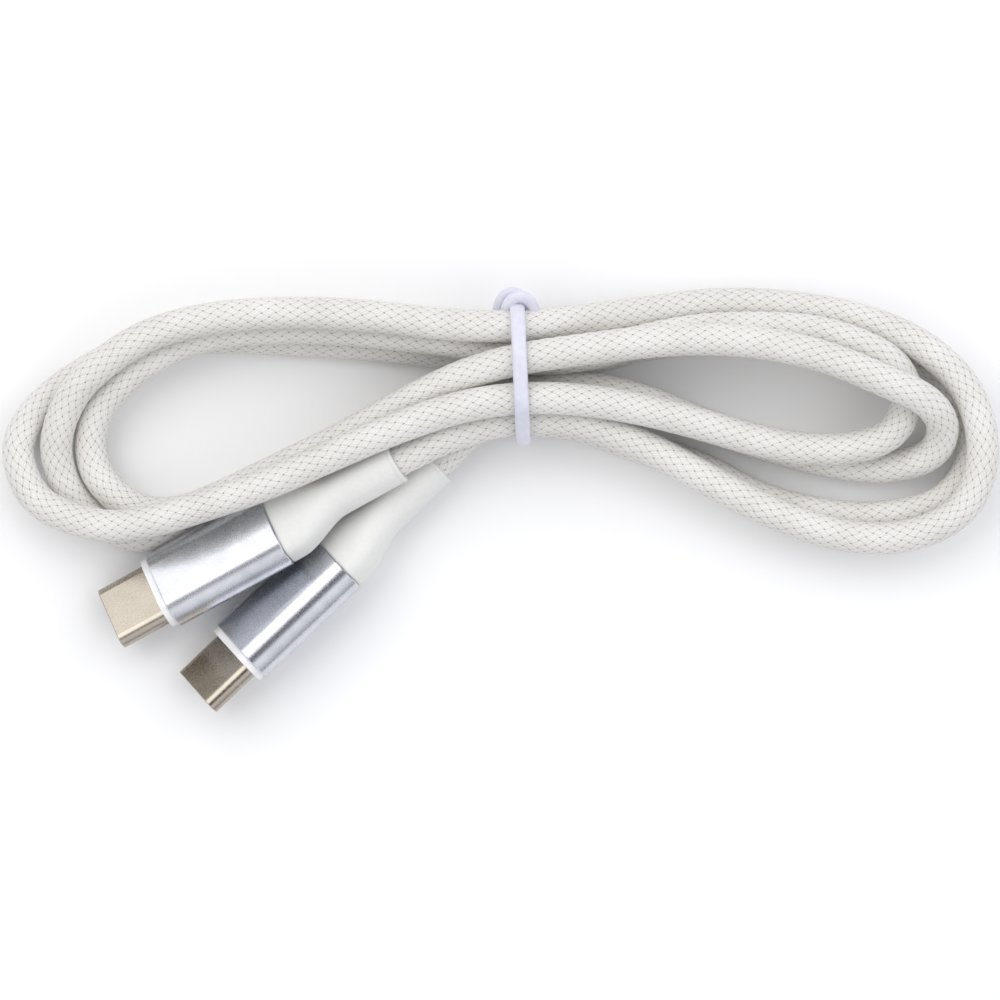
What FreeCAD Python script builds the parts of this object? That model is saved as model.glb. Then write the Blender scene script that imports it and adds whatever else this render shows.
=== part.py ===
import FreeCAD, Part
import os
from math import cos, pi, radians, sin, tan
from FreeCAD import Placement, Rotation, Vector

# Charging cable, folded into a bow-shaped hank and tied at its waist, in millimetres.
# +X is to the right of the hank, +Y to its far side and +Z up from the surface that it lies on.

# Cord
CORD_RADIUS = 1.9
SLEEVE_WALL = 0.4
JACKET_WALL = 0.35
LAYER_GAP = 0.02
CORE_RADIUS = 0.46
CORE_OFFSET = 0.62
CORE_NAMES = ("power_core", "ground_core", "data_core", "control_core")

# Plug: nose, case and strain relief, measured back from the nose's tip
NOSE_WIDTH = 8.25
NOSE_HEIGHT = 2.4
NOSE_WALL = 0.25
NOSE_EXPOSED = 6.35
NOSE_LENGTH = 9.6
BEZEL_LENGTH = 0.8
BEZEL_INSET = 0.3
CASE_WIDTH = 10.0
CASE_HEIGHT = 5.6
CASE_WALL = 0.5
CASE_LENGTH = 15.6
MOULD_TAIL = 1.4
PLUG_LENGTH = 39.3
CASE_START = NOSE_EXPOSED + BEZEL_LENGTH
CASE_END = CASE_START + CASE_LENGTH

# Contacts
CONTACT_COUNT = 12
CONTACT_PITCH = 0.5
CONTACT_WIDTH = 0.22
CONTACT_THICKNESS = 0.15
CAVITY_WIDTH = 6.8
CAVITY_HEIGHT = 1.2
BOARD_THICKNESS = 0.9
BOARD_WIDTH = 7.4
BOARD_START = 8.7
BOARD_END = 19.6

# Strain relief: distance from the case, half width, half height, squareness of the section
RELIEF_SECTIONS = (
    (0.0, 4.65, 2.45, 3.4),
    (1.5, 4.65, 2.45, 3.4),
    (2.7, 4.4, 2.45, 3.2),
    (4.0, 3.9, 2.5, 2.9),
    (5.1, 3.4, 2.6, 2.5),
    (6.5, 3.06, 2.7, 2.2),
    (8.1, 2.75, 2.7, 2.0),
    (11.5, 2.65, 2.65, 2.0),
    (PLUG_LENGTH - CASE_END, 2.6, 2.6, 2.0),
)
STRIPPED_END = 23.0

# Tie round the waist
TIE_X = 2.3
TIE_WIDTH = 1.9
TIE_THICKNESS = 1.0
TIE_CLEARANCE = 0.05
# strands on the outside of the waist, as (y, z)
WAIST = ((16.2, 3.2), (9.7, 3.05), (9.5, 7.8), (12.2, 11.2), (16.8, 11.2), (20.7, 9.1))

# Plug poses: the nose's tip, the way back along the plug in plan, its rise, and its roll about that line
PLUG_A = {"tip": (-46.4, -14.1, 3.5), "heading": 28.87, "rise": 7.46, "roll": 28.0}
PLUG_B = {"tip": (-36.1, -22.78, 4.36), "heading": 43.6, "rise": 0.0, "roll": 45.0}

# Route of the cord, from plug A to plug B
ROUTE = (
    # out of plug A to the tie
    (-12.27, 4.71, 8.6), (-9.1, 6.4, 8.9), (-4.8, 8.3, 8.3),
    # first loop on the right
    (1.6, 9.9, 7.9), (8.8, 9.8, 7.5), (16.6, 7.0, 6.6), (24.3, 2.7, 6.0), (32.2, -1.4, 6.0),
    (39.3, -3.9, 5.7), (45.9, -4.7, 5.4), (51.6, -3.4, 5.7), (55.6, -0.6, 6.0), (57.5, 4.0, 6.1),
    (57.3, 9.1, 6.2), (55.2, 14.1, 6.2), (51.2, 17.9, 6.1), (46.5, 20.5, 5.1), (40.6, 22.3, 3.8),
    (33.3, 23.4, 3.1), (25.5, 23.6, 3.0), (17.8, 22.6, 3.8), (10.1, 21.5, 6.1),
    # first loop on the left
    (2.3, 20.7, 9.2), (-5.3, 20.8, 9.9), (-13.8, 21.8, 10.0), (-22.1, 22.4, 10.0),
    (-30.2, 22.2, 9.9), (-37.1, 21.3, 9.7), (-42.8, 19.4, 9.4), (-47.6, 16.2, 8.2),
    (-50.9, 12.9, 6.9), (-52.9, 8.4, 5.0), (-53.0, 4.7, 3.8), (-51.5, 0.7, 2.5), (-47.5, -3.0, 1.9),
    (-42.3, -4.7, 2.0), (-37.1, -2.0, 2.0), (-30.6, 1.3, 1.9), (-22.8, 4.7, 2.5), (-14.3, 7.8, 3.7),
    (-6.0, 11.8, 5.5),
    # second loop on the right
    (2.5, 13.0, 5.3), (9.4, 13.7, 5.3), (16.6, 12.3, 5.2), (23.8, 9.3, 3.6), (30.5, 7.0, 2.3),
    (37.6, 5.0, 2.0), (43.5, 3.9, 2.0), (48.6, 4.3, 2.6), (51.9, 5.8, 3.9), (52.9, 8.5, 5.9),
    (51.9, 10.8, 8.1), (49.5, 12.7, 9.8), (45.6, 14.2, 10.6), (40.0, 16.7, 10.9),
    (32.7, 18.6, 10.6), (24.9, 19.3, 10.4), (17.1, 18.9, 10.8), (10.2, 18.0, 11.0),
    # second loop on the left
    (2.1, 16.9, 11.3), (-4.2, 15.1, 9.6), (-10.7, 12.0, 7.8), (-17.9, 7.9, 7.0), (-25.2, 4.4, 6.8),
    (-32.6, 0.8, 6.5), (-38.3, -1.6, 6.1), (-43.0, -1.3, 5.2), (-47.0, 1.3, 3.7), (-49.0, 5.0, 3.1),
    (-48.8, 9.6, 3.9), (-46.2, 13.4, 5.3), (-41.3, 17.4, 6.1), (-34.8, 20.1, 6.0),
    (-26.2, 20.7, 6.1), (-18.0, 20.4, 6.0), (-9.3, 19.5, 6.1), (-3.0, 18.4, 6.3),
    # third loop on the right
    (2.8, 16.7, 7.2), (9.4, 17.1, 7.0), (16.6, 19.1, 6.5), (23.7, 20.5, 6.1), (31.0, 20.7, 6.3),
    (37.6, 20.3, 7.0), (43.0, 18.6, 7.8), (46.6, 16.6, 7.2), (48.4, 13.8, 5.9), (48.4, 10.8, 5.5),
    (46.6, 7.9, 5.8), (43.0, 6.4, 6.3), (37.6, 6.0, 6.3), (31.0, 7.0, 6.6), (23.7, 9.2, 7.8),
    (16.6, 11.0, 9.2), (9.5, 12.1, 10.7),
    # third loop on the left
    (2.3, 12.3, 11.1), (-4.7, 11.3, 11.4), (-12.6, 8.6, 12.0), (-20.3, 5.3, 11.1),
    (-28.1, 1.8, 10.2), (-35.3, -0.6, 10.2), (-41.2, -2.4, 9.6), (-46.5, -3.2, 7.9),
    (-51.6, -2.0, 6.1), (-55.7, 0.2, 5.0), (-57.7, 4.9, 4.1), (-57.2, 8.3, 3.4), (-54.6, 11.8, 2.7),
    (-50.2, 15.1, 2.1), (-45.0, 17.9, 2.0), (-37.6, 19.6, 2.0), (-29.9, 19.5, 2.0),
    (-21.5, 19.1, 2.0), (-13.1, 18.5, 2.0), (-5.4, 17.6, 2.2),
    # fourth loop on the right
    (2.4, 16.1, 3.2), (9.5, 16.6, 2.7), (16.5, 18.6, 2.0), (24.3, 19.6, 2.0), (32.2, 19.5, 2.0),
    (39.3, 18.4, 2.0), (45.9, 17.9, 2.0), (50.3, 17.4, 2.0), (53.6, 14.5, 2.0), (55.9, 9.6, 2.0),
    (56.7, 5.3, 2.0), (54.1, 0.6, 2.0), (49.8, -1.3, 2.0), (43.9, -2.2, 2.0), (37.1, -1.4, 2.0),
    (30.4, 0.4, 2.0), (23.2, 4.5, 2.0), (15.9, 6.6, 2.0), (9.3, 9.2, 2.6),
    # from the tie to plug B, stopping 0.8 mm short of its mouth so that the plug can swing
    (2.0, 9.8, 3.1), (-1.9, 9.6, 2.9), (-4.6, 7.5, 3.8), (-7.05, 4.87, 4.36),
)


def corner_turns(points):
    """The tangent length, turn axis and turn angle at each inner point of a route."""
    turns = []
    for before, here, after in zip(points, points[1:], points[2:]):
        run_in = here - before
        run_out = after - here
        axis = run_in.cross(run_out)
        angle = run_in.getAngle(run_out)
        turns.append((0.45 * min(run_in.Length, run_out.Length), axis.normalize(), angle))
    return turns


def cord_path(points, aside=Vector(0, 0, 0)):
    """Straight runs joined by tangent arcs; aside carries a core's line off the cord's centre."""
    edges = []
    start = points[0] + aside
    corners = zip(points, points[1:], points[2:], corner_turns(points))
    for before, here, after, (reach, axis, angle) in corners:
        arc_start = here - (here - before).normalize() * reach
        centre = arc_start + axis.cross(here - before).normalize() * (reach / tan(angle / 2))
        half = Rotation(axis, angle * 90 / pi)
        full = Rotation(axis, angle * 180 / pi)
        first = arc_start + aside
        middle = centre + half.multVec(first - centre)
        last = centre + full.multVec(first - centre)
        edges.append(Part.LineSegment(start, first).toShape())
        edges.append(Part.Arc(first, middle, last).toShape())
        start = last
        aside = full.multVec(aside)
    edges.append(Part.LineSegment(start, points[-1] + aside).toShape())
    return Part.Wire(edges)


def sweep(path, centre, along, outer, inner=0):
    """A round section swept along a path, hollow if it has an inner radius."""
    ring = Part.Face(Part.Wire(Part.makeCircle(outer, centre, along)))
    if inner:
        ring = ring.cut(Part.Face(Part.Wire(Part.makeCircle(inner, centre, along)))).Faces[0]
    shape = path.makePipe(ring)
    return shape.Solids[0] if shape.Solids else Part.Solid(shape)


def cord_layer(points, outer, inner=0):
    return sweep(cord_path(points), points[0], points[1] - points[0], outer, inner)


def cord_cores(points):
    """Four insulated cores, side by side inside the shield, each with its own node."""
    along = (points[1] - points[0]).normalize()
    across = along.cross(Vector(0, 0, 1)).normalize()
    cores = {}
    for index, name in enumerate(CORE_NAMES):
        aside = Rotation(along, 45 + 90 * index).multVec(across) * CORE_OFFSET
        cores[name] = sweep(cord_path(points, aside), points[0] + aside, along, CORE_RADIUS - LAYER_GAP)
    return cores


def stadium(width, height, x):
    """A slot-shaped face across X, with round sides."""
    radius = height / 2
    side = width / 2 - radius
    corners = [Vector(x, y, z) for y, z in ((-side, radius), (side, radius), (side, -radius), (-side, -radius))]
    right = Part.Arc(corners[1], Vector(x, width / 2, 0), corners[2]).toShape()
    left = Part.Arc(corners[3], Vector(x, -width / 2, 0), corners[0]).toShape()
    top = Part.LineSegment(corners[0], corners[1]).toShape()
    bottom = Part.LineSegment(corners[2], corners[3]).toShape()
    return Part.Face(Part.Wire([top, right, bottom, left]))


def bar(width, height, start, end):
    return stadium(width, height, start).extrude(Vector(end - start, 0, 0))


def rod(radius, start, end):
    return Part.makeCylinder(radius, end - start, Vector(start, 0, 0), Vector(1, 0, 0))


def block(x, y, z):
    """A box between pairs of limits."""
    return Part.makeBox(x[1] - x[0], y[1] - y[0], z[1] - z[0], Vector(x[0], y[0], z[0]))


def superellipse(x, half_width, half_height, power):
    points = []
    for step in range(24):
        angle = 2 * pi * step / 24
        y = abs(cos(angle)) ** (2 / power) * (1 if cos(angle) >= 0 else -1)
        z = abs(sin(angle)) ** (2 / power) * (1 if sin(angle) >= 0 else -1)
        points.append(Vector(x, half_width * y, half_height * z))
    curve = Part.BSplineCurve()
    curve.interpolate(points, PeriodicFlag=True)
    return Part.Wire(curve.toShape())


def contact_row(side):
    """Spring contacts side by side, lying on the cavity's roof or floor."""
    low = CAVITY_HEIGHT / 2 - CONTACT_THICKNESS
    contacts = []
    for index in range(CONTACT_COUNT):
        middle = (index - (CONTACT_COUNT - 1) / 2) * CONTACT_PITCH
        limits = sorted((side * low, side * (low + CONTACT_THICKNESS)))
        reach = (middle - CONTACT_WIDTH / 2, middle + CONTACT_WIDTH / 2)
        contacts.append(block((0.9, BOARD_START + 0.9), reach, limits))
    return Part.makeCompound(contacts)


def latch_arm(side):
    """A retention spring beside the cavity, with a hook at its free end."""
    arm = block((1.0, 5.9), (3.35, 3.6), (-0.25, 0.25))
    hook = block((1.2, 1.9), (3.2, 3.4), (-0.25, 0.25))
    shape = arm.fuse(hook).removeSplitter()
    return shape if side > 0 else shape.mirror(Vector(0, 0, 0), Vector(0, 1, 0))


def emi_spring(side):
    """A grounding spring in a pocket of the housing, just under the nose's skin."""
    limits = sorted((side * 0.78, side * 0.88))
    return block((0.9, 2.3), (-2.6, 2.6), limits)


def contact_housing(upper, lower, plate):
    """Moulded insulator: mouth for the mating tongue, side slots for the latch arms."""
    body = bar(NOSE_WIDTH - 2 * NOSE_WALL, NOSE_HEIGHT - 2 * NOSE_WALL, 0.35, 8.6)
    half_width = CAVITY_WIDTH / 2
    half_height = CAVITY_HEIGHT / 2
    mouth = block((0.0, 6.0), (-half_width, half_width), (-half_height, half_height))
    slots = block((0.9, 6.0), (-NOSE_WIDTH / 2, NOSE_WIDTH / 2), (-0.32, 0.32))
    pockets = [block((0.9, 2.3), (-2.6, 2.6), sorted((side * 0.78, side * 1.2))) for side in (-1, 1)]
    return body.cut([mouth, slots, upper, lower, plate] + pockets)


def nose_shell():
    outer = bar(NOSE_WIDTH, NOSE_HEIGHT, 0, NOSE_LENGTH)
    rim = [edge for edge in outer.Edges if edge.BoundBox.XMax < 0.001]
    outer = outer.makeFillet(0.12, rim)
    return outer.cut(bar(NOSE_WIDTH - 2 * NOSE_WALL, NOSE_HEIGHT - 2 * NOSE_WALL, -1, NOSE_LENGTH + 1))


def front_bezel():
    outer = bar(CASE_WIDTH - 2 * BEZEL_INSET, CASE_HEIGHT - 2 * BEZEL_INSET, NOSE_EXPOSED, CASE_START)
    return outer.cut(bar(NOSE_WIDTH, NOSE_HEIGHT, NOSE_EXPOSED - 1, CASE_START + 1))


def case_filling(start, end):
    """The space inside the case, carried on to any length."""
    return bar(CASE_WIDTH - 2 * CASE_WALL, CASE_HEIGHT - 2 * CASE_WALL, start, end)


def aluminium_case():
    outer = bar(CASE_WIDTH, CASE_HEIGHT, CASE_START, CASE_END)
    rims = [edge for edge in outer.Edges if edge.BoundBox.XLength < 0.001]
    outer = outer.makeChamfer(0.12, rims)
    return outer.cut(case_filling(CASE_START - 1, CASE_END + 1))


def inner_mould():
    """Plastic core between the shield can and the case, with a hole for the cord's end."""
    outer = case_filling(CASE_START, CASE_END + MOULD_TAIL)
    return outer.cut([bar(8.4, 3.6, CASE_START - 1, 21.8), rod(2.15, 21, 25)])


def shield_can(side):
    outer = bar(8.38, 3.58, 9.7, 21.5)
    shell = outer.cut(bar(8.0, 3.2, 9.6, 21.6))
    return shell.common(block((9, 22), (-5, 5), sorted((side * 0.01, side * 3))))


def strain_relief(captured, ferrule):
    sections = [superellipse(CASE_END + x, *section) for x, *section in RELIEF_SECTIONS]
    body = Part.makeLoft(sections, True, True)
    mould_tail = case_filling(CASE_END - 1, CASE_END + MOULD_TAIL)
    return body.cut([mould_tail, captured, ferrule])


def board_parts():
    """The identity chip and the capacitors on the circuit board."""
    top = BOARD_THICKNESS / 2
    chip = block((12.2, 14.2), (-1.1, 1.1), (top, top + 0.5))
    places = [(x, y) for x in (11.0, 15.2) for y in (-2.6, 1.6)]
    capacitors = [block((x, x + 0.6), (y, y + 1.0), (top, top + 0.45)) for x, y in places]
    return chip, Part.makeCompound(capacitors)


def wire_ends():
    """Stripped core ends, from the cord down onto the circuit board."""
    rest = BOARD_THICKNESS / 2 + 0.22
    wires = []
    for y in (-1.8, -0.6, 0.6, 1.8):
        points = [Vector(17.2, y, rest), Vector(19.9, y, rest), Vector(STRIPPED_END, 0.4 * y, 0)]
        wires.append(cord_layer(points, 0.2))
    return Part.makeCompound(wires)


def plug_pieces():
    """Every piece of one plug, in the plug's own frame: X back from the nose's tip, Y across, Z up."""
    upper = contact_row(1)
    lower = contact_row(-1)
    plate = block((6.0, 8.4), (-3.3, 3.3), (-0.1, 0.1))
    captured = rod(CORD_RADIUS, STRIPPED_END, PLUG_LENGTH)
    ferrule = rod(2.15, 22.4, 26.5).cut(rod(CORD_RADIUS, 22, 27))
    chip, capacitors = board_parts()
    return {
        "nose_shell": nose_shell(),
        "contact_housing": contact_housing(upper, lower, plate),
        "upper_contacts": upper,
        "lower_contacts": lower,
        "latch_plate": plate,
        "latch_arm_near": latch_arm(-1),
        "latch_arm_far": latch_arm(1),
        "emi_spring_top": emi_spring(1),
        "emi_spring_bottom": emi_spring(-1),
        "circuit_board": block((BOARD_START, BOARD_END), (-BOARD_WIDTH / 2, BOARD_WIDTH / 2),
                               (-BOARD_THICKNESS / 2, BOARD_THICKNESS / 2)),
        "id_chip": chip,
        "capacitors": capacitors,
        "front_bezel": front_bezel(),
        "shield_can_top": shield_can(1),
        "shield_can_bottom": shield_can(-1),
        "inner_mould": inner_mould(),
        "crimp_ferrule": ferrule,
        "aluminium_case": aluminium_case(),
        "strain_relief": strain_relief(captured, ferrule),
        "captured_cord": captured,
        "wire_ends": wire_ends(),
    }


def plug_placement(pose):
    """Where a plug lies: X along its heading and rise, then rolled so that its near side is up."""
    turn = Rotation(Vector(0, 0, 1), pose["heading"])
    rise = Rotation(Vector(0, 1, 0), -pose["rise"])
    roll = Rotation(Vector(1, 0, 0), -pose["roll"])
    return Placement(Vector(*pose["tip"]), turn.multiply(rise).multiply(roll))


def tie_outline(offset):
    """The waist's outer strands with a taut line round them, at a distance."""
    edges = []
    count = len(WAIST)
    centres = [Vector(TIE_X - TIE_WIDTH / 2, y, z) for y, z in WAIST]
    normals = []
    for index in range(count):
        along = (centres[(index + 1) % count] - centres[index]).normalize()
        normals.append(Vector(0, -along.z, along.y) * offset)
    for index in range(count):
        corner = centres[(index + 1) % count]
        here = normals[index]
        after = normals[(index + 1) % count]
        edges.append(Part.LineSegment(centres[index] + here, corner + here).toShape())
        middle = corner + (here + after).normalize() * offset
        edges.append(Part.Arc(corner + here, middle, corner + after).toShape())
    return Part.Face(Part.Wire(edges))


def tie_band():
    inner = CORD_RADIUS + TIE_CLEARANCE
    depth = Vector(TIE_WIDTH, 0, 0)
    outer_solid = tie_outline(inner + TIE_THICKNESS).extrude(depth)
    band = outer_solid.cut(tie_outline(inner).extrude(depth))
    return band.makeFillet(0.3, [edge for edge in band.Edges if edge.BoundBox.XLength < 0.001])


def tie_knot():
    """Two arches of the band, one crossing over the other, on the tie's far side."""
    front = ((-0.5, 23.4, 9.2), (0.9, 24.4, 10.6), (2.9, 24.5, 10.4), (4.3, 23.5, 8.6))
    back = ((0.2, 24.2, 6.6), (1.2, 25.0, 7.9), (2.8, 24.9, 7.9), (3.8, 24.2, 6.4))
    arches = ((front, 0.6), (back, 0.5))
    return Part.makeCompound([cord_layer([Vector(*point) for point in line], radius) for line, radius in arches])


def report_cord(points, sleeve):
    """Prints the cord's radii and how its volume compares with section times length."""
    path = cord_path(points)
    radii = [edge.Curve.Radius for edge in path.Edges if isinstance(edge.Curve, Part.Circle)]
    section = pi * (CORD_RADIUS ** 2 - (CORD_RADIUS - SLEEVE_WALL) ** 2)
    print("cord length", round(path.Length, 1), "tightest radii", [round(r, 2) for r in sorted(radii)[:6]])
    print("sleeve volume over section times length", round(sleeve.Volume / (section * path.Length), 4))


def main():
    os.makedirs("parts", exist_ok=True)
    points = [Vector(*point) for point in ROUTE]
    jacket_radius = CORD_RADIUS - SLEEVE_WALL - LAYER_GAP
    shield_radius = jacket_radius - JACKET_WALL - LAYER_GAP
    nodes = {
        "braided_sleeve": cord_layer(points, CORD_RADIUS, CORD_RADIUS - SLEEVE_WALL),
        "cable_jacket": cord_layer(points, jacket_radius, jacket_radius - JACKET_WALL),
        "tie_band": tie_band(),
        "tie_knot": tie_knot(),
    }
    nodes.update(cord_cores(points))
    report_cord(points, nodes["braided_sleeve"])
    print("room inside the jacket", round(shield_radius, 2))
    for letter, pose in (("a", PLUG_A), ("b", PLUG_B)):
        for name, shape in plug_pieces().items():
            shape.Placement = plug_placement(pose)
            nodes[f"{name}_{letter}"] = shape
    for name, shape in nodes.items():
        if not shape.isValid():
            print("not valid:", name)
        shape.exportStep(f"parts/{name}.step")
    whole = Part.makeCompound(list(nodes.values())).BoundBox
    print(len(nodes), "nodes", whole)


main()
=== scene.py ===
from math import copysign, cos, pi, radians, sin

import bpy
from mathutils import Matrix, Vector


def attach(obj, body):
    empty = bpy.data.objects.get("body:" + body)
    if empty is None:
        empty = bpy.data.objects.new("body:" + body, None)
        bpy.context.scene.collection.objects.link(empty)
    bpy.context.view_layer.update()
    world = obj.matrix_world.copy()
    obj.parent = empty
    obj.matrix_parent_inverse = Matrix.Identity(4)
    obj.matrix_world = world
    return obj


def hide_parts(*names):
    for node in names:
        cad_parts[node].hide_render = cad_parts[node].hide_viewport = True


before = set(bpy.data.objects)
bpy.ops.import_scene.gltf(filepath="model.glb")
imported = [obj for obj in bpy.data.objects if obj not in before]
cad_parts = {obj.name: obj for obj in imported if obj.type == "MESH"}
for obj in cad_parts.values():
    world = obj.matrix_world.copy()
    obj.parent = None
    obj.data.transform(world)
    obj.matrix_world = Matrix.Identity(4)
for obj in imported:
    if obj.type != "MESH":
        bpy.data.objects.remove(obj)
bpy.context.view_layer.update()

# Everything is in metres, in the part's own frame: Z up from the surface that the hank lies on.
MM = 0.001

# Cord, as a woven tube round the route's smooth line
CORD_RADIUS = 1.93 * MM
RING_STEP = 0.24 * MM
CORD_SIDES = 24
YARN_STEP = 1.7 * MM
YARNS_AROUND = 12
CORD_ENTRY = 1.5 * MM

# Plug poses and sizes, as in the CAD: the nose's tip, heading, rise and roll
PLUG_POSES = {
    "a": ((-46.4, -14.1, 3.5), 28.87, 7.46, 28.0),
    "b": ((-36.1, -22.78, 4.36), 43.6, 0.0, 45.0),
}
PLUG_BODIES = {"a": "hank", "b": "plug_b"}
RELIEF_START = 22.75 * MM
RELIEF_LENGTH = 16.55 * MM
RELIEF_HALF_WIDTH = 4.65 * MM
RELIEF_HALF_HEIGHT = 2.45 * MM
NECK_RADIUS = 2.62 * MM
NECK_START = 8.3 * MM
SHOULDER_START = 1.5 * MM

# Tie: the strands on the outside of the waist as (y, z), and the strip that goes round them
WAIST = ((16.2, 3.2), (9.7, 3.05), (9.5, 7.8), (12.2, 11.2), (16.8, 11.2), (20.7, 9.1))
TIE_X = 2.3
TIE_LEAN = 0.045
TIE_OFFSET = 2.4
TIE_HALF_WIDTH = 0.88
TIE_HALF_THICKNESS = 0.46
STRIP_SIDES = 20
# Knot: each arch's centre, half width and height in plan, its height at the ends and at the top
KNOT_ARCHES = {
    "back": ((1.4, 22.4), 1.65, 2.35, 6.8, 8.0),
    "front": ((2.35, 22.3), 1.65, 1.95, 8.4, 10.3),
}

# Route of the cord in millimetres, from plug A to plug B: control points of its line
ROUTE = (
    # out of plug A to the tie
    (-12.27, 4.71, 8.6), (-9.1, 6.4, 8.9), (-4.8, 8.3, 8.3),
    # first loop on the right
    (1.6, 9.9, 7.9), (8.8, 9.8, 7.5), (16.6, 7.0, 6.6), (24.3, 2.7, 6.0), (32.2, -1.4, 6.0),
    (39.3, -3.9, 5.7), (45.9, -4.7, 5.4), (51.6, -3.4, 5.7), (55.6, -0.6, 6.0), (57.5, 4.0, 6.1),
    (57.3, 9.1, 6.2), (55.2, 14.1, 6.2), (51.2, 17.9, 6.1), (46.5, 20.5, 5.1), (40.6, 22.3, 3.8),
    (33.3, 23.4, 3.1), (25.5, 23.6, 3.0), (17.8, 22.6, 3.8), (10.1, 21.5, 6.1),
    # first loop on the left
    (2.3, 20.7, 9.2), (-5.3, 20.8, 9.9), (-13.8, 21.8, 10.0), (-22.1, 22.4, 10.0),
    (-30.2, 22.2, 9.9), (-37.1, 21.3, 9.7), (-42.8, 19.4, 9.4), (-47.6, 16.2, 8.2),
    (-50.9, 12.9, 6.9), (-52.9, 8.4, 5.0), (-53.0, 4.7, 3.8), (-51.5, 0.7, 2.5), (-47.5, -3.0, 1.9),
    (-42.3, -4.7, 2.0), (-37.1, -2.0, 2.0), (-30.6, 1.3, 1.9), (-22.8, 4.7, 2.5), (-14.3, 7.8, 3.7),
    (-6.0, 11.8, 5.5),
    # second loop on the right
    (2.5, 13.0, 5.3), (9.4, 13.7, 5.3), (16.6, 12.3, 5.2), (23.8, 9.3, 3.6), (30.5, 7.0, 2.3),
    (37.6, 5.0, 2.0), (43.5, 3.9, 2.0), (48.6, 4.3, 2.6), (51.9, 5.8, 3.9), (52.9, 8.5, 5.9),
    (51.9, 10.8, 8.1), (49.5, 12.7, 9.8), (45.6, 14.2, 10.6), (40.0, 16.7, 10.9),
    (32.7, 18.6, 10.6), (24.9, 19.3, 10.4), (17.1, 18.9, 10.8), (10.2, 18.0, 11.0),
    # second loop on the left
    (2.1, 16.9, 11.3), (-4.2, 15.1, 9.6), (-10.7, 12.0, 7.8), (-17.9, 7.9, 7.0), (-25.2, 4.4, 6.8),
    (-32.6, 0.8, 6.5), (-38.3, -1.6, 6.1), (-43.0, -1.3, 5.2), (-47.0, 1.3, 3.7), (-49.0, 5.0, 3.1),
    (-48.8, 9.6, 3.9), (-46.2, 13.4, 5.3), (-41.3, 17.4, 6.1), (-34.8, 20.1, 6.0),
    (-26.2, 20.7, 6.1), (-18.0, 20.4, 6.0), (-9.3, 19.5, 6.1), (-3.0, 18.4, 6.3),
    # third loop on the right
    (2.8, 16.7, 7.2), (9.4, 17.1, 7.0), (16.6, 19.1, 6.5), (23.7, 20.5, 6.1), (31.0, 20.7, 6.3),
    (37.6, 20.3, 7.0), (43.0, 18.6, 7.8), (46.6, 16.6, 7.2), (48.4, 13.8, 5.9), (48.4, 10.8, 5.5),
    (46.6, 7.9, 5.8), (43.0, 6.4, 6.3), (37.6, 6.0, 6.3), (31.0, 7.0, 6.6), (23.7, 9.2, 7.8),
    (16.6, 11.0, 9.2), (9.5, 12.1, 10.7),
    # third loop on the left
    (2.3, 12.3, 11.1), (-4.7, 11.3, 11.4), (-12.6, 8.6, 12.0), (-20.3, 5.3, 11.1),
    (-28.1, 1.8, 10.2), (-35.3, -0.6, 10.2), (-41.2, -2.4, 9.6), (-46.5, -3.2, 7.9),
    (-51.6, -2.0, 6.1), (-55.7, 0.2, 5.0), (-57.7, 4.9, 4.1), (-57.2, 8.3, 3.4), (-54.6, 11.8, 2.7),
    (-50.2, 15.1, 2.1), (-45.0, 17.9, 2.0), (-37.6, 19.6, 2.0), (-29.9, 19.5, 2.0),
    (-21.5, 19.1, 2.0), (-13.1, 18.5, 2.0), (-5.4, 17.6, 2.2),
    # fourth loop on the right
    (2.4, 16.1, 3.2), (9.5, 16.6, 2.7), (16.5, 18.6, 2.0), (24.3, 19.6, 2.0), (32.2, 19.5, 2.0),
    (39.3, 18.4, 2.0), (45.9, 17.9, 2.0), (50.3, 17.4, 2.0), (53.6, 14.5, 2.0), (55.9, 9.6, 2.0),
    (56.7, 5.3, 2.0), (54.1, 0.6, 2.0), (49.8, -1.3, 2.0), (43.9, -2.2, 2.0), (37.1, -1.4, 2.0),
    (30.4, 0.4, 2.0), (23.2, 4.5, 2.0), (15.9, 6.6, 2.0), (9.3, 9.2, 2.6),
    # from the tie to plug B
    (2.0, 9.8, 3.1), (-1.9, 9.6, 2.9), (-4.6, 7.5, 3.8), (-7.05, 4.87, 4.36),
)


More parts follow.
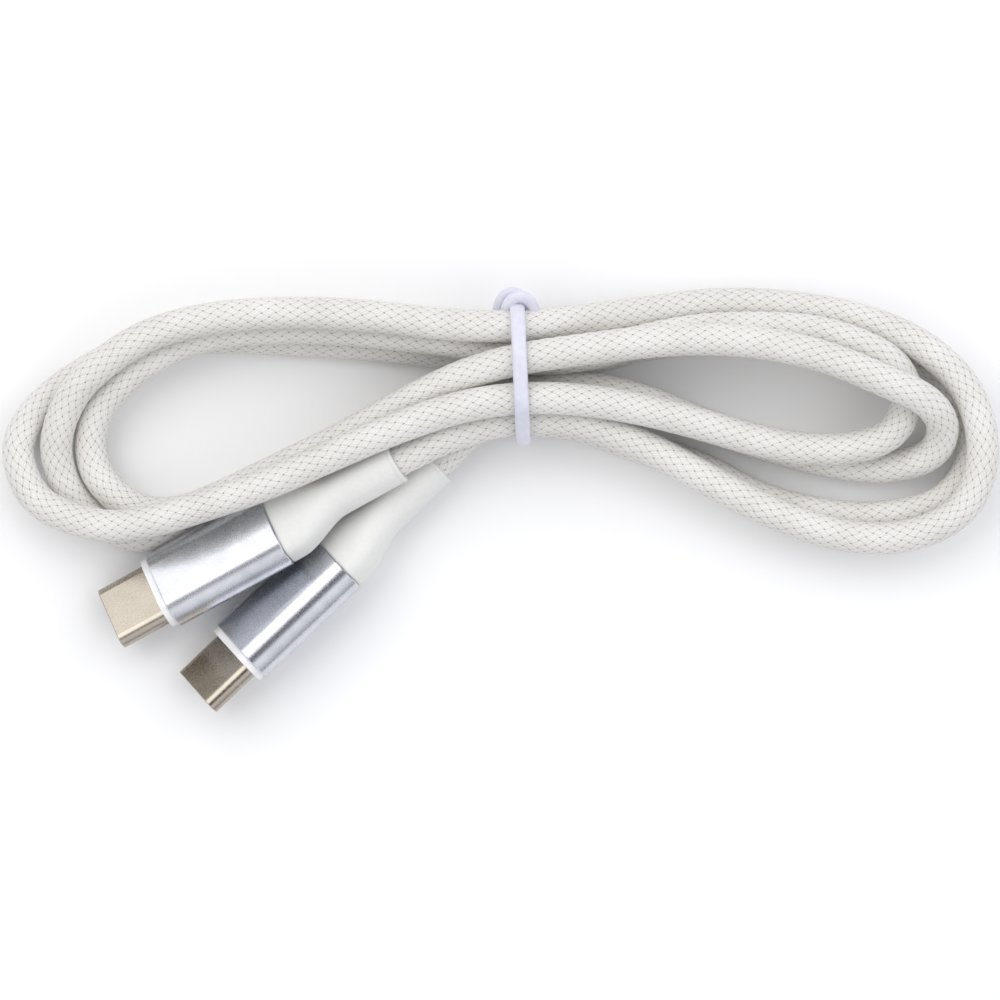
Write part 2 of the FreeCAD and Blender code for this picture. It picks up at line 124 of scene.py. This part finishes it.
class Nodes:
    """A small helper that adds nodes to a material or a world."""

    def __init__(self, tree):
        self.tree = tree
        tree.nodes.clear()

    def add(self, kind, inputs=None, **settings):
        node = self.tree.nodes.new(kind)
        for name, value in settings.items():
            setattr(node, name, value)
        for name, value in (inputs or {}).items():
            if isinstance(value, bpy.types.NodeSocket):
                self.tree.links.new(value, node.inputs[name])
            else:
                node.inputs[name].default_value = value
        return node

    def math(self, operation, first, second=0.0):
        return self.add("ShaderNodeMath", {0: first, 1: second}, operation=operation).outputs[0]

    def ramp(self, factor, stops, interpolation="LINEAR"):
        node = self.add("ShaderNodeValToRGB", {"Fac": factor})
        node.color_ramp.interpolation = interpolation
        elements = node.color_ramp.elements
        while len(elements) < len(stops):
            elements.new(0.5)
        for element, (position, colour) in zip(elements, stops):
            element.position = position
            element.color = (*colour, 1)
        return node.outputs["Color"]

    def noise(self, scale, detail=3.0, stretch=(1, 1, 1)):
        place = self.add("ShaderNodeTexCoord").outputs["Object"]
        mapped = self.add("ShaderNodeMapping", {"Vector": place, "Scale": stretch}).outputs[0]
        inputs = {"Vector": mapped, "Scale": scale, "Detail": detail}
        return self.add("ShaderNodeTexNoise", inputs).outputs["Fac"]

    def bump(self, height, distance, strength=1.0):
        inputs = {"Height": height, "Distance": distance, "Strength": strength}
        return self.add("ShaderNodeBump", inputs).outputs[0]

    def finish_material(self, inputs):
        shader = self.add("ShaderNodeBsdfPrincipled", inputs)
        self.add("ShaderNodeOutputMaterial", {"Surface": shader.outputs[0]})


def new_material(name):
    material = bpy.data.materials.new(name)
    material.use_nodes = True
    return material, Nodes(material.node_tree)


def speckled(name, dark, light, roughness, metallic, scale, bump, coat=0.0):
    """A moulded or blasted finish: fine mottling in colour, roughness and relief."""
    material, nodes = new_material(name)
    grain = nodes.noise(scale, 4)
    cloud = nodes.noise(scale / 18, 2)
    mixed = nodes.math("ADD", nodes.math("MULTIPLY", grain, 0.6), nodes.math("MULTIPLY", cloud, 0.4))
    rough = nodes.add("ShaderNodeMapRange", {"Value": grain, "From Min": 0.3, "From Max": 0.7,
                                             "To Min": roughness * 0.85, "To Max": roughness * 1.15})
    nodes.finish_material({
        "Base Color": nodes.ramp(mixed, ((0.35, dark), (0.65, light))),
        "Metallic": metallic,
        "Roughness": rough.outputs[0],
        "Coat Weight": coat,
        "Normal": nodes.bump(grain, bump),
    })
    return material


def braid_material():
    """Diagonal yarns that pass over and under each other, three fine yarns to a band."""
    material, nodes = new_material("woven_sleeve")
    weave = nodes.add("ShaderNodeUVMap", uv_map="weave").outputs[0]
    place = nodes.add("ShaderNodeSeparateXYZ", {0: weave})
    along = place.outputs[0]
    around = place.outputs[1]
    left = nodes.math("ADD", along, around)
    right = nodes.math("SUBTRACT", along, around)

    def band(value, count):
        return nodes.math("ABSOLUTE", nodes.math("SINE", nodes.math("MULTIPLY", value, pi * count)))

    cell = nodes.math("ADD", nodes.math("FLOOR", left), nodes.math("FLOOR", right))
    left_on_top = nodes.math("ABSOLUTE", nodes.math("MODULO", cell, 2.0))
    left_yarn = nodes.math("MULTIPLY", nodes.math("POWER", band(left, 3), 0.5), band(right, 1))
    right_yarn = nodes.math("MULTIPLY", nodes.math("POWER", band(right, 3), 0.5), band(left, 1))
    height = nodes.add("ShaderNodeMix", {"Factor": left_on_top, "A": right_yarn, "B": left_yarn}).outputs[0]
    left_edge = nodes.math("POWER", band(left, 1), 2)
    right_edge = nodes.math("POWER", band(right, 1), 2)
    crossing = nodes.math("ADD", left_edge, right_edge)
    pinhole = nodes.math("LESS_THAN", crossing, 0.10)
    fibre = nodes.noise(3500, 3)
    patchy = nodes.noise(220, 2)
    # Half of the yarn's tone is painted shade: darker where the weave's height is low, at the yarns' edges and
    # where one yarn dips under another. The other half is random patches of tone.
    shade_and_patches = nodes.math("ADD", nodes.math("MULTIPLY", height, 0.5), nodes.math("MULTIPLY", patchy, 0.5))
    yarn_with_painted_shade = nodes.ramp(shade_and_patches, (
        (0.1, (0.60, 0.57, 0.53)),
        (0.45, (0.76, 0.74, 0.70)),
        (0.8, (0.86, 0.845, 0.82)),
    ))
    # Painted shade: the pinholes where the yarns part are painted near black, standing for the shade inside the
    # cord.
    colour = nodes.add("ShaderNodeMix", {"Factor": nodes.math("MULTIPLY", pinhole, 0.72), "A": yarn_with_painted_shade,
                                         "B": (0.16, 0.14, 0.14, 1)}, data_type="RGBA")
    relief = nodes.math("SUBTRACT", nodes.math("ADD", height, nodes.math("MULTIPLY", fibre, 0.25)), pinhole)
    nodes.finish_material({
        "Base Color": colour.outputs["Result"],
        "Roughness": 0.75,
        "Sheen Weight": 0.15,
        "Normal": nodes.bump(relief, 0.07 * MM, 0.8),
    })
    return material


def route_line():
    """Points along the route's smooth line, read from its NURBS spline."""
    curve = bpy.data.curves.new("route", "CURVE")
    curve.dimensions = "3D"
    spline = curve.splines.new("NURBS")
    spline.points.add(len(ROUTE) - 1)
    for point, place in zip(spline.points, ROUTE):
        point.co = (*(Vector(place) * MM), 1)
    spline.order_u = 3
    spline.use_endpoint_u = True
    spline.resolution_u = 30
    holder = bpy.data.objects.new("route", curve)
    bpy.context.scene.collection.objects.link(holder)
    mesh = bpy.data.meshes.new_from_object(holder)
    line = [vertex.co.copy() for vertex in mesh.vertices]
    bpy.data.meshes.remove(mesh)
    bpy.data.objects.remove(holder)
    return line


def evenly_spaced(line, step):
    """The same line, with a point at each step along it."""
    points = [line[0]]
    travelled = 0.0
    for start, end in zip(line, line[1:]):
        length = (end - start).length
        while length > 0 and travelled + length >= step:
            start = start.lerp(end, (step - travelled) / length)
            points.append(start)
            length = (end - start).length
            travelled = 0.0
        travelled += length
    return points + [line[-1]]


def new_object(name, vertices, faces, material, smooth=True):
    mesh = bpy.data.meshes.new(name)
    mesh.from_pydata(vertices, [], faces)
    mesh.materials.append(material)
    mesh.polygons.foreach_set("use_smooth", [smooth] * len(mesh.polygons))
    mesh.update()
    piece = bpy.data.objects.new(name, mesh)
    bpy.context.scene.collection.objects.link(piece)
    return piece


def tube_faces(rings, sides):
    """Faces between rings of points, open at both ends."""
    faces = []
    for ring in range(rings - 1):
        for side in range(sides):
            after = (side + 1) % sides
            faces.append((ring * sides + side, ring * sides + after,
                          (ring + 1) * sides + after, (ring + 1) * sides + side))
    return faces


def capped_tube_faces(rings, sides):
    """The same, with a flat face over each end."""
    faces = tube_faces(rings, sides)
    faces.append(tuple(reversed(range(sides))))
    faces.append(tuple(range((rings - 1) * sides, rings * sides)))
    return faces


def tube_rings(points, section):
    """Rings of points round a line, without twist; section gives the offsets at a ring's number."""
    vertices = []
    across = Vector((0, 0, 1))
    for index, point in enumerate(points):
        along = (points[min(index + 1, len(points) - 1)] - points[max(index - 1, 0)]).normalized()
        across = (across - along * across.dot(along)).normalized()
        up = along.cross(across)
        vertices += [point + across * x + up * y for x, y in section(index)]
    return vertices


def add_cord():
    line = route_line()
    lead_out = (line[0] - line[1]).normalized() * CORD_ENTRY
    lead_in = (line[-1] - line[-2]).normalized() * CORD_ENTRY
    points = evenly_spaced([line[0] + lead_out] + line[1:-1] + [line[-1] + lead_in], RING_STEP)

    def section(index):
        offsets = []
        for side in range(CORD_SIDES):
            angle = 2 * pi * side / CORD_SIDES
            ripple = cos(2 * pi * index * RING_STEP / YARN_STEP + pi * (side % 2))
            radius = CORD_RADIUS + 0.025 * MM * ripple
            offsets.append((radius * cos(angle), radius * sin(angle)))
        return offsets

    sides = CORD_SIDES
    faces = capped_tube_faces(len(points), sides)
    piece = new_object("woven_cord", tube_rings(points, section), faces, braid_material())
    layer = piece.data.uv_layers.new(name="weave")
    coordinates = []
    for ring in range(len(points) - 1):
        low = ring * RING_STEP / YARN_STEP
        high = (ring + 1) * RING_STEP / YARN_STEP
        for side in range(sides):
            first = side * YARNS_AROUND / sides
            after = (side + 1) * YARNS_AROUND / sides
            coordinates += [low, first, low, after, high, after, high, first]
    coordinates += [0.3, 0.3] * (2 * sides)
    layer.data.foreach_set("uv", coordinates)
    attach(piece, "hank")
    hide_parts("braided_sleeve")
    return piece, points


def plug_matrix(letter):
    tip, heading, rise, roll = PLUG_POSES[letter]
    turn = Matrix.Rotation(radians(heading), 4, "Z")
    tilt = Matrix.Rotation(radians(-rise), 4, "Y")
    lean = Matrix.Rotation(radians(-roll), 4, "X")
    return Matrix.Translation(Vector(tip) * MM) @ turn @ tilt @ lean


def ease(value):
    value = min(max(value, 0.0), 1.0)
    return value * value * (3 - 2 * value)


def relief_section(x, inset=0.0):
    """Half width, half height and squareness of the strain relief at a distance from the case."""
    slim = ease((x - SHOULDER_START) / (NECK_START - SHOULDER_START))
    half_width = RELIEF_HALF_WIDTH + (NECK_RADIUS - RELIEF_HALF_WIDTH) * slim - inset
    half_height = RELIEF_HALF_HEIGHT + (NECK_RADIUS - RELIEF_HALF_HEIGHT) * slim - inset
    power = 3.4 - 1.4 * slim
    return half_width, half_height, power


def add_relief(letter, material):
    """The smooth moulded sleeve from the case to the cord, with a small lip at its mouth."""
    sides = 64
    stations = [(0.0, 0.25 * MM), (0.04 * MM, 0.08 * MM), (0.15 * MM, 0.0)]
    stations += [(0.15 * MM + (RELIEF_LENGTH - 0.9 * MM) * step / 44, 0.0) for step in range(1, 45)]
    end = RELIEF_LENGTH
    stations += [(end - 0.68 * MM, 0.05 * MM), (end - 0.6 * MM, 0.07 * MM), (end - 0.52 * MM, 0.03 * MM),
                 (end - 0.4 * MM, -0.02 * MM), (end - 0.15 * MM, -0.02 * MM), (end - 0.04 * MM, 0.06 * MM),
                 (end, 0.2 * MM), (end, 0.6 * MM), (end - 1.0 * MM, 0.64 * MM)]
    vertices = []
    place = plug_matrix(letter)
    for x, inset in stations:
        half_width, half_height, power = relief_section(x, inset)
        for side in range(sides):
            angle = 2 * pi * side / sides
            y = half_width * copysign(abs(cos(angle)) ** (2 / power), cos(angle))
            z = half_height * copysign(abs(sin(angle)) ** (2 / power), sin(angle))
            vertices.append(place @ Vector((RELIEF_START + x, y, z)))
    piece = new_object(f"relief_sleeve_{letter}", vertices, tube_faces(len(stations), sides), material)
    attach(piece, PLUG_BODIES[letter])
    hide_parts(f"strain_relief_{letter}")
    return piece


def strip_section(half_width, half_thickness):
    """A flattened oval, wide across the first direction."""
    offsets = []
    for side in range(STRIP_SIDES):
        angle = 2 * pi * side / STRIP_SIDES
        wide = half_width * copysign(abs(cos(angle)) ** 0.9, cos(angle))
        thick = half_thickness * copysign(abs(sin(angle)) ** 0.9, sin(angle))
        offsets.append((wide * MM, thick * MM))
    return offsets


def add_tie_band(material):
    """A closed strip round the waist's outer strands, leaning a little to the right at the near side."""
    path = []
    count = len(WAIST)
    for index in range(count):
        here = Vector(WAIST[index])
        before = (here - Vector(WAIST[index - 1])).normalized()
        after = (Vector(WAIST[(index + 1) % count]) - here).normalized()
        turn = before.angle(after)
        first = Vector((-before.y, before.x)) * TIE_OFFSET
        for step in range(9):
            path.append(here + Matrix.Rotation(-turn * step / 8, 2) @ first)
    vertices = []
    for index, (y, z) in enumerate(path):
        along = (path[(index + 1) % len(path)] - path[index - 1]).normalized()
        x = TIE_X + TIE_LEAN * (16 - y)
        for wide, thick in strip_section(TIE_HALF_WIDTH, TIE_HALF_THICKNESS):
            vertices.append(Vector((x * MM + wide, y * MM - along.y * thick, z * MM + along.x * thick)))
    faces = tube_faces(len(path), STRIP_SIDES)
    last_ring = (len(path) - 1) * STRIP_SIDES
    for side in range(STRIP_SIDES):
        after = (side + 1) % STRIP_SIDES
        faces.append((last_ring + side, last_ring + after, after, side))
    piece = new_object("tie_strip", vertices, faces, material)
    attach(piece, "hank")
    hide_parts("tie_band")


def add_tie_knot(material):
    """Two arches of the strip, the front one crossing over the band's top."""
    for name, ((x, y), reach, height, low, high) in KNOT_ARCHES.items():
        points = []
        for step in range(33):
            angle = pi * (1.12 - 1.24 * step / 32)
            lift = low + (high - low) * max(sin(angle), 0)
            points.append(Vector((x + reach * cos(angle), y + height * sin(angle), lift)) * MM)
        section = strip_section(0.62, 0.72)
        faces = capped_tube_faces(len(points), STRIP_SIDES)
        piece = new_object(f"knot_{name}", tube_rings(points, lambda index: section), faces, material)
        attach(piece, "hank")
        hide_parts("tie_knot")


def add_floor():
    material, nodes = new_material("studio_floor")
    mottle = nodes.noise(6, 2)
    nodes.finish_material({
        "Base Color": nodes.ramp(mottle, ((0.3, (0.93, 0.93, 0.93)), (0.7, (0.95, 0.95, 0.95)))),
        "Roughness": 0.9,
    })
    half = 1.5
    corners = [(-half, -half, 0), (half, -half, 0), (half, half, 0), (-half, half, 0)]
    floor = new_object("studio_floor", corners, [(0, 1, 2, 3)], material)


def add_studio_world():
    """Soft light all round: dark overhead where the camera is, bright above, greyer to the horizon."""
    world = bpy.data.worlds.new("studio")
    world.use_nodes = True
    bpy.context.scene.world = world
    nodes = Nodes(world.node_tree)
    direction = nodes.add("ShaderNodeTexCoord").outputs["Generated"]
    rise = nodes.add("ShaderNodeSeparateXYZ", {0: direction}).outputs[2]
    sky = nodes.ramp(rise, (
        (0.0, (0.22, 0.21, 0.21)),
        (0.10, (0.34, 0.34, 0.35)),
        (0.35, (0.74, 0.75, 0.79)),
        (0.60, (0.93, 0.94, 0.98)),
        (0.90, (1.12, 1.12, 1.12)),
        (0.965, (0.04, 0.045, 0.07)),
    ))
    backdrop = nodes.add("ShaderNodeBackground", {"Color": sky, "Strength": 1.0})
    nodes.add("ShaderNodeOutputWorld", {"Surface": backdrop.outputs[0]})


def add_light(name, place, size, power, colour):
    data = bpy.data.lights.new(name, "AREA")
    data.size = size
    data.energy = power
    data.color = colour
    lamp = bpy.data.objects.new(name, data)
    lamp.location = place
    lamp.rotation_euler = (-Vector(place)).to_track_quat("-Z", "Y").to_euler()
    bpy.context.scene.collection.objects.link(lamp)


def add_camera():
    distance = 1.2
    view_width = 119.05 * MM
    data = bpy.data.cameras.new("camera")
    data.sensor_width = 36
    data.lens = data.sensor_width * distance / view_width
    camera = bpy.data.objects.new("camera", data)
    camera.location = (-0.06 * MM, 0.12 * MM, distance + 6 * MM)
    bpy.context.scene.collection.objects.link(camera)
    bpy.context.scene.camera = camera


def dress(name, material):
    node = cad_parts[name]
    node.data.materials.clear()
    node.data.materials.append(material)


def dress_cad_nodes(materials):
    finishes = {
        "nose_shell": "nickel",
        "contact_housing": "black_plastic",
        "upper_contacts": "gold",
        "lower_contacts": "gold",
        "front_bezel": "gloss_white",
        "aluminium_case": "aluminium",
        "circuit_board": "board",
        "id_chip": "black_plastic",
        "capacitors": "ceramic",
        "inner_mould": "inner_plastic",
        "captured_cord": "inner_plastic",
        "wire_ends": "inner_plastic",
    }
    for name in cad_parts:
        base = name[:-2] if name.endswith(("_a", "_b")) else name
        if base in ("braided_sleeve", "strain_relief", "tie_band", "tie_knot"):
            continue
        if base.endswith("_core") or base == "cable_jacket":
            dress(name, materials["inner_plastic"])
        else:
            dress(name, materials[finishes.get(base, "steel")])


def main():
    materials = {
        "nickel": speckled("satin_nickel", (0.40, 0.36, 0.30), (0.50, 0.45, 0.385), 0.28, 1.0, 4500,
                           0.006 * MM),
        "aluminium": speckled("blasted_aluminium", (0.55, 0.57, 0.61), (0.72, 0.73, 0.77), 0.27, 1.0, 9000,
                              0.006 * MM),
        "steel": speckled("rolled_steel", (0.50, 0.50, 0.50), (0.62, 0.62, 0.62), 0.3, 1.0, 3000, 0.003 * MM),
        "gold": speckled("gold_plate", (0.85, 0.60, 0.25), (0.95, 0.72, 0.36), 0.25, 1.0, 3000, 0.002 * MM),
        "black_plastic": speckled("black_moulding", (0.01, 0.01, 0.01), (0.03, 0.03, 0.03), 0.45, 0.0, 2500,
                                  0.004 * MM),
        "gloss_white": speckled("gloss_white", (0.83, 0.83, 0.83), (0.88, 0.88, 0.88), 0.15, 0.0, 900, 0.002 * MM,
                                coat=0.5),
        "relief": speckled("matt_elastomer", (0.745, 0.745, 0.715), (0.79, 0.79, 0.765), 0.55, 0.0, 2200,
                           0.004 * MM),
        "tie": speckled("tie_plastic", (0.66, 0.66, 0.76), (0.74, 0.74, 0.83), 0.4, 0.0, 1200, 0.005 * MM),
        "board": speckled("solder_mask", (0.01, 0.10, 0.04), (0.02, 0.15, 0.06), 0.35, 0.0, 1500, 0.003 * MM),
        "ceramic": speckled("ceramic", (0.35, 0.27, 0.18), (0.45, 0.35, 0.24), 0.5, 0.0, 2500, 0.003 * MM),
        "inner_plastic": speckled("inner_plastic", (0.62, 0.62, 0.60), (0.70, 0.70, 0.68), 0.5, 0.0, 1500,
                                  0.003 * MM),
    }
    dress_cad_nodes(materials)
    cord, line = add_cord()
    reliefs = {letter: add_relief(letter, materials["relief"]) for letter in PLUG_POSES}
    add_tie_band(materials["tie"])
    add_tie_knot(materials["tie"])
    add_floor()
    add_studio_world()
    add_light("key_light", (-0.35, 0.45, 0.8), 0.9, 3.4, (1.0, 0.985, 0.965))
    add_light("fill_light", (0.55, 0.2, 0.5), 0.8, 1.3, (0.90, 0.92, 1.0))
    add_camera()
    bpy.context.scene.view_settings.view_transform = "Standard"


main()
